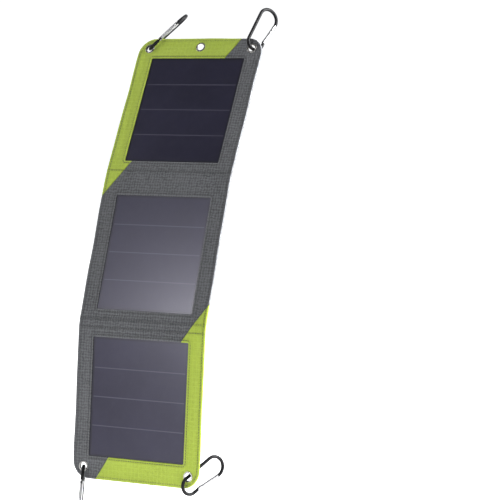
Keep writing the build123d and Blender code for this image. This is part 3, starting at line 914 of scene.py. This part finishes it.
def front_cloth(stretch, replaced):
    """Green and grey front cloth of one stretch."""
    holes = [round_window(name, 0.0, STEP_FRONT) for name in WINDOWS if name == stretch.name]
    holes += eyelet_holes(stretch, 1.2)
    plan, faces = cut(stretch_outline(stretch, STEP_FRONT), holes, seams_in(stretch, STEP_FRONT), STEP_FRONT)
    upper, lower = front_faces(plan)
    centre = plan[faces].mean(1)
    is_green = inside(centre, GREEN[0]) | inside(centre, GREEN[1])
    made = []
    for word, chosen, look in (("green", is_green, GREEN_CLOTH), ("grey", ~is_green, GREY_CLOTH)):
        if not chosen.any():
            continue
        name = f"{stretch.name}_front_{word}_cloth"
        piece = shell(name, plan, faces[chosen], upper, lower, stretch.lay, look, front_wear)
        stretch.attach(piece)
        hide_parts(replaced.format(word))
        made.append((piece, plan[faces[chosen]]))
    return made


def declare_front(made):
    """Returns the ones too small or too open to count as a sheet alone: they are trim of the back cloth.
    """
    trim = []
    for piece, corners in made:
        width, length = (corners.max((0, 1)) - corners.min((0, 1))).tolist()
        b, c = corners[:, 1] - corners[:, 0], corners[:, 2] - corners[:, 0]
        area = float(np.abs(b[:, 0] * c[:, 1] - b[:, 1] * c[:, 0]).sum() / 2)
        if min(width, length) < SHEET_LEAST or area < SHEET_SHARE * width * length:
            trim.append(piece)
            continue
    return trim


def rear_cloth(stretch, replaced):
    """Back cloth of one stretch, the sheet that the front is sewn to."""
    plan, faces = cut(stretch_outline(stretch, STEP_REAR), eyelet_holes(stretch, 1.2), [], STEP_REAR)
    upper, lower = rear_faces(plan)
    name = f"{stretch.name}_rear_cloth"
    piece = shell(name, plan, faces, upper, lower, stretch.lay, REAR_CLOTH, rear_wear)
    stretch.attach(piece)
    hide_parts(replaced)


# ---- stitches ----
RING_ALONG = np.array([0.0, 0.14, 0.5, 0.86, 1.0])
RING_WIDE = np.array([0.35, 0.9, 1.0, 0.9, 0.35])
RING_SINK = np.array([-0.34, -0.02, 0.06, -0.02, -0.34])
SIDES = 6


def stitch_mesh(name, ends, heights, out, lay, look):
    """One mesh of many stitches. ends holds the two ends of each in the plan, heights the face under it."""
    starts, stops = ends[:, 0], ends[:, 1]
    way = stops - starts
    length = np.linalg.norm(way, axis=1)[:, None]
    side = np.column_stack([-way[:, 1], way[:, 0]]) / length
    plan, level, wrap = [], [], []
    for along, wide, sink in zip(RING_ALONG, RING_WIDE, RING_SINK):
        for k in range(SIDES):
            angle = 2 * math.pi * k / SIDES
            plan.append(starts + way * along + side * THREAD_R * wide * math.cos(angle))
            level.append(heights + out * (sink + THREAD_R * wide * math.sin(angle)))
            wrap.append(np.column_stack([along * length[:, 0] * MM, np.full(len(starts), k / SIDES)]))
    count = len(starts)
    spots = lay(np.vstack(plan), np.concatenate(level))
    rings = len(RING_ALONG)
    order = 1 if out > 0 else -1
    polygons = []
    for k in range(count):
        number = [[(r * SIDES + j) * count + k for j in range(SIDES)] for r in range(rings)]
        for r in range(rings - 1):
            for j in range(SIDES):
                after = (j + 1) % SIDES
                quad = [number[r][j], number[r][after], number[r + 1][after], number[r + 1][j]]
                polygons.append(quad[::order])
        polygons.append(number[0][::-1][::order])
        polygons.append(number[-1][::order])
    return mesh_piece(name, spots, polygons, look, np.vstack(wrap))


def stitches_along(line, closed):
    """Ends of the stitches along a line of the plan."""
    line = np.array(line, float)
    if closed:
        line = np.vstack([line, line[:1]])
    steps = np.linalg.norm(np.diff(line, axis=0), axis=1)
    run = np.concatenate([[0], np.cumsum(steps)])
    count = max(1, round(run[-1] / STITCH_PITCH))
    pitch = run[-1] / count
    starts = (np.arange(count) + 0.12) * pitch
    stops = starts + STITCH_LENGTH * pitch / STITCH_PITCH
    ends = np.stack([starts, stops], axis=1)
    return np.stack([np.interp(ends, run, line[:, 0]), np.interp(ends, run, line[:, 1])], axis=2)


def border(inset):
    """The outer edge of the unfolded panel, moved inward."""
    radius = CORNER - inset
    return rectangle(HALF - inset, PLAN_LOW + inset, PLAN_TOP - inset, 1.0, radius, radius)


def rows(window_away, lines):
    made = [stitches_along(border(STITCH_IN), True)]
    made += [stitches_along(round_window(name, window_away, 1.0), True) for name in WINDOWS]
    reach = HALF - STITCH_IN - 2
    made += [stitches_along([(-reach, line), (reach, line)], False) for line in lines]
    found = np.vstack(made)
    return found[eyelet_distance(found.mean(1)) > EYELET_CLEAR + 1.5]


def stretch_stitches(stretch, found, faces_of, side, out):
    """The stitches that lie in one stretch, as one piece."""
    height = found.mean(1)[:, 1]
    mine = found[(height < stretch.high) & (height >= stretch.low)]
    face = faces_of(mine.mean(1))[0 if out > 0 else 1]
    look = DARK_THREAD if out > 0 else GREY_THREAD
    piece = stitch_mesh(f"{stretch.name}_{side}_stitches", mine, face, out, stretch.lay, look)
    stretch.attach(piece)
    return piece


front_rows = rows(WINDOW_STITCH, SEWN_LINES)
rear_rows = rows(PAN_STITCH, FOLD_LINES)


def cad_names(stretch):
    """Names of the CAD nodes of a stretch: its front cloths, its back cloth and what is under that."""
    if stretch.line is None:
        return f"{stretch.name}_front_{{}}", f"{stretch.name}_rear_cover", f"{stretch.name}_stiffener"
    strip = stretch.name.split("_")[0] + "_strip"
    return f"{strip}_{{}}", f"{strip}_rear", f"{strip}_lead"


for stretch in STRETCHES:
    front_node, rear_node, under = cad_names(stretch)
    sewn_on = declare_front(front_cloth(stretch, front_node))
    sewn_on.append(stretch_stitches(stretch, front_rows, front_faces, "front", 1))
    sewn_on.append(stretch_stitches(stretch, rear_rows, rear_faces, "rear", -1))
    rear_cloth(stretch, rear_node)

# ---- pouch on the back of the top leaf ----
pouch_low, pouch_high = TOP.read("pocket_pouch")
POUCH_WALL = 0.8
POUCH_RISE = 7.0
POUCH_FLANGE = 3.4
pouch_depth = pouch_high[2] - pouch_low[2] - POUCH_WALL
lay_on_top_leaf = STRETCHES[0].lay


def pouch_faces(plan):
    """Outer and inner heights of the pouch, sewn flat on three sides and open at the top."""
    side = pouch_high[0] - np.abs(plan[:, 0])
    foot = plan[:, 1] - pouch_low[1]
    mouth = pouch_high[1] - plan[:, 1]
    rise = quarter((side - POUCH_FLANGE) / POUCH_RISE) * quarter((foot - POUCH_FLANGE) / POUCH_RISE)
    sag = 0.5 * ripple(plan, 17, 0.6) * smooth((mouth - 22) / 12)
    sag = sag * smooth((foot - 6) / 10) * smooth((side - 8) / 8)
    held = smooth((np.abs(plan[:, 0]) - 31) / 12)
    slack = 1.2 * held * smooth((mouth - 24) / 20)
    hem = 0.35 * (1 - smooth((mouth - 7) / 1.5)) * smooth((np.abs(plan[:, 0]) - 30) / 3)
    depth = pouch_depth * rise - (sag + slack) * rise
    outer = pouch_high[2] - POUCH_WALL - depth - hem * rise
    edge = rounded_off(np.minimum(side, foot))
    inner = outer + POUCH_WALL * edge
    return inner, outer


def pouch_wear(plan):
    # Lighter at the mouth; painted shade along the row of stitches below it.
    mouth = pouch_high[1] - plan[:, 1]
    return 0.6 * near_edge(mouth, 0.7), 0.5 * dent(mouth, 3.2, 0.9)


def centred(low, high, step, low_radius=0.0, high_radius=0.0):
    """Outline of a CAD node that is centred on the leaf."""
    return rectangle(high[0], low[1], high[1], step, low_radius, high_radius)


plan, faces = cut(centred(pouch_low, pouch_high, 2.2, 5.0), [], [], 2.2)
inner, outer = pouch_faces(plan)
pouch = shell("pouch_cloth_shell", plan, faces, inner, outer, lay_on_top_leaf, POUCH_CLOTH, pouch_wear)
fasten(pouch, "top_leaf", "pocket_pouch")


def pouch_stitches():
    inset = POUCH_FLANGE / 2
    left, low = -pouch_high[0] + inset, pouch_low[1] + inset
    half = [(left, pouch_high[1] - 1), (left, low + 5), (left + 5, low)]
    seam = half + [(-x, y) for x, y in reversed(half)]
    mouth = [(left + 6, pouch_high[1] - 3.2), (-left - 6, pouch_high[1] - 3.2)]
    found = np.vstack([stitches_along(walk(seam, 2.0, False), False), stitches_along(mouth, False)])
    outer = pouch_faces(found.mean(1))[1]
    return stitch_mesh("pouch_stitches", found, outer, -1, lay_on_top_leaf, GREY_THREAD)


pouch_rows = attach(pouch_stitches(), "top_leaf")

# ---- hook and loop tapes ----


def tape(name, node, look, out, body):
    """Tape with a raised selvedge and a sunk line just inside it."""
    low, high = TOP.read(node)
    base, face = (high[2], low[2]) if out < 0 else (low[2], high[2])
    plan, faces = cut(centred(low, high, 1.5, 1.5, 1.5), [], [], 1.5)
    edge = -box_distance(plan, (low + high)[:2] / 2, (high - low)[:2] / 2, 1.5)
    nap = 0.16 * np.sin(plan[:, 0] * 4.1) * np.sin(plan[:, 1] * 4.3) * smooth((edge - 1.5) / 1)
    level = face - base - out * 0.1
    far = base + level * (0.35 + 0.65 * rounded_off(edge)) + out * nap - out * 0.3 * dent(edge, 1.3, 0.5)
    near = np.full(len(plan), base)
    upper, lower = (near, far) if out < 0 else (far, near)
    piece = shell(name, plan, faces, upper, lower, lay_on_top_leaf, look)
    fasten(piece, body, node)


# ---- flap ----
flap_low, flap_high = TOP.read("pocket_flap")
FLAP_T = 1.0
FLAP_TURN = 4.0
FLAP_CORNER = 8.0
FLAP_PAST = 6.0
FLAP_LID_THINNER = 0.2
hinge_y = (pivot["pocket_flap_hinge"] - TOP.origin).dot(TOP.up) / MM
hinge_n = (pivot["pocket_flap_hinge"] - TOP.origin).dot(TOP.out) / MM
flap_drop_n = flap_low[2] + FLAP_T / 2
flap_lid = hinge_n - flap_drop_n - FLAP_TURN
flap_bend = FLAP_TURN * math.pi / 2
flap_fall = hinge_y - FLAP_TURN - flap_low[1]
FLAP_LENGTH = flap_lid + flap_bend + flap_fall


def lay_flap(plan, heights):
    """Wraps the flap's cut out over the pouch's mouth and down its back. y runs down from the hinge."""
    run = -plan[:, 1]
    turn = np.clip((run - flap_lid) / flap_bend, 0, 1) * math.pi / 2
    out_run = np.clip(run, 0, flap_lid)
    fall = np.clip(run - flap_lid - flap_bend, 0, None)
    y = hinge_y - FLAP_TURN * (1 - np.cos(turn)) - fall
    n = hinge_n - out_run - FLAP_TURN * np.sin(turn)
    y = y + heights * np.cos(turn)
    n = n - heights * np.sin(turn)
    return TOP.spread(np.column_stack([plan[:, 0], y, n]))


def flap_edge(plan):
    """Distance in from the flap's sides and lower edge. The box runs on past the hinge."""
    half = (flap_high[0], FLAP_LENGTH / 2 + FLAP_PAST)
    return -box_distance(plan, (0.0, FLAP_PAST - FLAP_LENGTH / 2), half, FLAP_CORNER)


def flap_faces(plan):
    side, edge = flap_high[0] - np.abs(plan[:, 0]), flap_edge(plan)
    free = smooth((-plan[:, 1] - flap_lid) / 5)
    hem = 0.25 * (1 - smooth((edge - 6) / 1.5)) * free
    share = rounded_off(edge)
    wave = 0.10 * ripple(plan, 12, 1.7) * smooth((side - 2) / 6) * free
    groove = pucker(plan, edge, STITCH_IN) * 0.8 * free
    thin = FLAP_LID_THINNER * (1 - free)
    return share * (FLAP_T / 2 - thin + hem + wave + groove), -share * FLAP_T / 2


def flap_wear(plan):
    # Lighter along the edges; painted shade along the row of stitches.
    edge = flap_edge(plan)
    return 0.65 * near_edge(edge, 0.7), 0.5 * dent(edge, STITCH_IN, 0.9)


plan, faces = cut(rectangle(flap_high[0], -FLAP_LENGTH, 0.0, 1.8, FLAP_CORNER), [], [], 1.8)
upper, lower = flap_faces(plan)
flap = shell("flap_cloth", plan, faces, upper, lower, lay_flap, POUCH_CLOTH, flap_wear)
fasten(flap, "pocket_flap", "pocket_flap")
radius = FLAP_CORNER - STITCH_IN
seam = rectangle(flap_high[0] - STITCH_IN, -FLAP_LENGTH + STITCH_IN, -1.5, 1.0, radius)
found = stitches_along(seam, True)
found = found[found[:, :, 1].max(1) < -flap_lid - 1]
flap_rows = stitch_mesh("flap_stitches", found, flap_faces(found.mean(1))[0], 1, lay_flap, GREY_THREAD)
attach(flap_rows, "pocket_flap")
tape("pouch_loop_tape_cloth", "pouch_loop_tape", LOOP_TAPE, -1, "top_leaf")
tape("flap_hook_tape_cloth", "flap_hook_tape", HOOK_TAPE, 1, "pocket_flap")

# ---- floor, light and camera ----
FLOOR_SIZE = 60.0
FLOOR_CLEAR = 0.02
FLOOR_GLOW = 0.55


def floor():
    """Plain pale floor a little below the hanging panel, dimmer towards the front."""
    g = Graph("pale_floor")
    glow = g.ramp(g.split()[1], -1.4, -0.2)
    tone = g.mix(g.noise(3.0), (0.93, 0.93, 0.93, 1), (0.95, 0.95, 0.95, 1))
    tone = g.mix(glow, (0.55, 0.55, 0.55, 1), tone)
    look = g.finish(tone, None, 0.9, Specular_IOR_Level=0.1, Emission_Strength=FLOOR_GLOW,
                    Emission_Color=glow)
    level = cad_box[0].z - FLOOR_CLEAR
    half = FLOOR_SIZE / 2
    spots = [(-half, -half, level), (half, -half, level), (half, half, level), (-half, half, level)]
    mesh_piece("floor", spots, [[0, 1, 2, 3]], look)


def place_facing(name, data, aim, azimuth, elevation, distance):
    """Light or camera that looks at aim. Azimuth 0 is in front, and grows towards the right."""
    a, e = math.radians(azimuth), math.radians(elevation)
    back = Vector((math.sin(a) * math.cos(e), -math.cos(a) * math.cos(e), math.sin(e)))
    placed = bpy.data.objects.new(name, data)
    placed.location = aim + back * distance
    placed.rotation_euler = back.to_track_quat("Z", "Y").to_euler()
    bpy.context.scene.collection.objects.link(placed)
    return placed


def area_light(name, azimuth, elevation, distance, size, power, aim):
    data = bpy.data.lights.new(name, "AREA")
    data.shape = "RECTANGLE"
    data.size, data.size_y = size
    data.energy = power
    place_facing(name, data, aim, azimuth, elevation, distance)


BACKDROP = 1.1
ROOM_LOW = 0.18
ROOM_HIGH = 0.10
VIEW_AZIMUTH = 26.8
VIEW_ELEVATION = 5.2
VIEW_DISTANCE = 2.434
VIEW_LENS = 144.4
AIM_FROM_LOW_WINDOW = Vector((104.0, 100.0, 250.0)) * MM


def camera():
    """Camera aimed beside the panel, so that it hangs left of the middle."""
    low_window = window_ends("bottom")[1] - LINE_4
    aim = BOTTOM.at(0, low_window, CLOTH) + AIM_FROM_LOW_WINDOW
    data = bpy.data.cameras.new("view")
    data.lens = VIEW_LENS
    data.clip_start, data.clip_end = 0.05, 100
    eye = place_facing("view", data, aim, VIEW_AZIMUTH, VIEW_ELEVATION, VIEW_DISTANCE)
    bpy.context.scene.camera = eye


def surround():
    """Studio round the panel: a bright backdrop behind it, a dimmer room with a dark ceiling in front."""
    g = Graph("studio", "worlds", "Generated")
    way = g.split()
    room = g.ramp(way[2], 0.05, 0.75, ROOM_LOW, ROOM_HIGH)
    behind = g.ramp(way[1], -0.02, 0.30)
    strength = g.node("Mix", {0: behind, 2: room, 3: BACKDROP}).outputs[0]
    g.feed(g.tree.nodes["Background"], {0: (0.98, 0.99, 1.0, 1), 1: strength})
    bpy.context.scene.world = g.owner


def light():
    """A key that the middle leaf mirrors, a low one for the bottom leaf, and top, raking and rim lights."""
    centre = (cad_box[0] + cad_box[1]) / 2
    area_light("key", -23.8, 23.2, 2.4, (0.55, 0.42), 13, centre)
    area_light("low", -20.5, 4.5, 2.4, (0.25, 0.25), 9.5, centre)
    area_light("top", 10, 66, 2.2, (0.9, 0.9), 13, centre)
    area_light("rake", -68, 32, 2.0, (0.5, 0.5), 8, centre)
    area_light("rim", 104, 20, 1.8, (0.4, 1.2), 130, centre)


camera()
floor()
surround()
light()
bpy.context.scene.view_settings.view_transform = "Standard"
